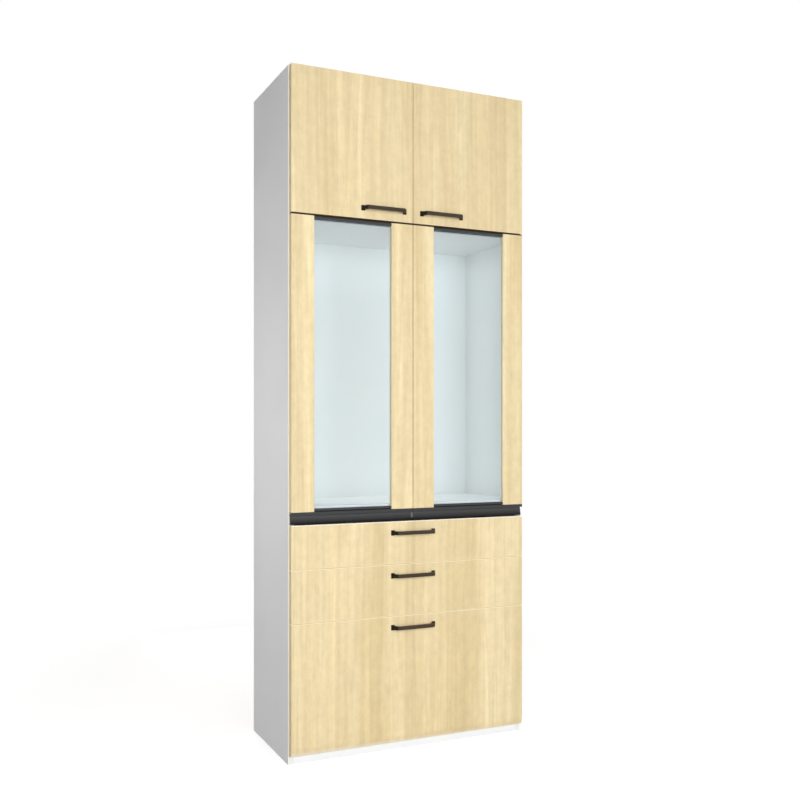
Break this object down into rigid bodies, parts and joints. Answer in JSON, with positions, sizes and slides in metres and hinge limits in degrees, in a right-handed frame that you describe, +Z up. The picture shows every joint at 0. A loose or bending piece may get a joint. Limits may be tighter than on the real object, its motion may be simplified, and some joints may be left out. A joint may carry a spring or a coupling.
{
  "type": "tall kitchen cupboard",
  "caption": "Tall kitchen cupboard: wooden doors above, glass doors in the middle, three full-width drawers below, black bow handles, white sides and a low plinth.",
  "frame": {"origin": "middle of the cupboard's box on the floor", "axes": "+Z up, the fronts look towards -Y, +X to the right of someone facing the fronts"},
  "size_m": [0.908, 0.46, 2.35],
  "materials": {
    "maple_front": "pale maple film with a straight upright grain, satin",
    "cover_white": "plain white decor on thin board, matt",
    "case_white": "white decor on board, matt",
    "plinth_white": "white decor on board, matt",
    "plain_board": "bare board",
    "drawer_board": "pale grey-white decor on board",
    "black_aluminium": "black anodised, fine brushed",
    "black_handle": "black powder coat, satin",
    "clear_glass": "clear float glass",
    "zinc_steel": "zinc plated",
    "grey_plastic": "light grey moulded plastic"
  },
  "bodies": {
    "cabinet": {"left_cover_panel": "cover_white", "right_cover_panel": "cover_white", "base_side_boards": "case_white", "base_bottom_board": "case_white", "base_top_board": "case_white", "base_front_rail": "case_white", "base_back_panel": "case_white", "glass_case_side_boards": "case_white", "glass_case_bottom_board": "case_white", "glass_case_top_board": "case_white", "glass_case_back_panel": "case_white", "upper_case_side_boards": "case_white", "upper_case_bottom_board": "case_white", "upper_case_top_board": "case_white", "upper_case_back_panel": "case_white", "upper_shelf": "case_white", "plinth_board": "plinth_white", "wall_fixing_rails": "plain_board", "shelf_supports": "grey_plastic", "door_catch": "grey_plastic", "case_bolts": "zinc_steel", "hinge_arms": "zinc_steel", "drawer_channels": "zinc_steel", "finger_recess_rail": "black_aluminium"},
    "door_upper_left": {"upper_left_door": "maple_front", "upper_left_handle": "black_handle", "upper_left_hinge_cups": "zinc_steel"},
    "door_glass_left": {"glass_left_outer_stile": "maple_front", "glass_left_inner_stile": "maple_front", "glass_left_rails": "black_aluminium", "glass_left_pane": "clear_glass", "glass_left_finger_pull": "black_aluminium", "glass_left_hinge_cups": "zinc_steel"},
    "door_upper_right": {"upper_right_door": "maple_front", "upper_right_handle": "black_handle", "upper_right_hinge_cups": "zinc_steel"},
    "door_glass_right": {"glass_right_outer_stile": "maple_front", "glass_right_inner_stile": "maple_front", "glass_right_rails": "black_aluminium", "glass_right_pane": "clear_glass", "glass_right_finger_pull": "black_aluminium", "glass_right_hinge_cups": "zinc_steel"},
    "drawer_top": {"top_drawer_front": "maple_front", "top_drawer_handle": "black_handle", "top_drawer_sides": "drawer_board", "top_drawer_back": "drawer_board", "top_drawer_bottom": "drawer_board", "top_drawer_slides": "zinc_steel"},
    "drawer_middle": {"middle_drawer_front": "maple_front", "middle_drawer_handle": "black_handle", "middle_drawer_sides": "drawer_board", "middle_drawer_back": "drawer_board", "middle_drawer_bottom": "drawer_board", "middle_drawer_slides": "zinc_steel"},
    "drawer_deep": {"deep_drawer_front": "maple_front", "deep_drawer_handle": "black_handle", "deep_drawer_sides": "drawer_board", "deep_drawer_back": "drawer_board", "deep_drawer_bottom": "drawer_board", "deep_drawer_slides": "zinc_steel"}
  },
  "joints": [
    {"name": "upper_left_hinge", "type": "hinge", "parent": "cabinet", "child": "door_upper_left", "pos_m": [-0.444, -0.1915, 2.102], "axis": [0, 0, -1], "range_deg": [0, 95]},
    {"name": "glass_left_hinge", "type": "hinge", "parent": "cabinet", "child": "door_glass_left", "pos_m": [-0.444, -0.1915, 1.348], "axis": [0, 0, -1], "range_deg": [0, 95]},
    {"name": "upper_right_hinge", "type": "hinge", "parent": "cabinet", "child": "door_upper_right", "pos_m": [0.444, -0.1915, 2.102], "axis": [0, 0, 1], "range_deg": [0, 95]},
    {"name": "glass_right_hinge", "type": "hinge", "parent": "cabinet", "child": "door_glass_right", "pos_m": [0.444, -0.1915, 1.348], "axis": [0, 0, 1], "range_deg": [0, 95]},
    {"name": "top_drawer_slide", "type": "slide", "parent": "cabinet", "child": "drawer_top", "axis": [0, -1, 0], "range_m": [0, 0.3]},
    {"name": "middle_drawer_slide", "type": "slide", "parent": "cabinet", "child": "drawer_middle", "axis": [0, -1, 0], "range_m": [0, 0.3]},
    {"name": "deep_drawer_slide", "type": "slide", "parent": "cabinet", "child": "drawer_deep", "axis": [0, -1, 0], "range_m": [0, 0.3]}
  ]
}
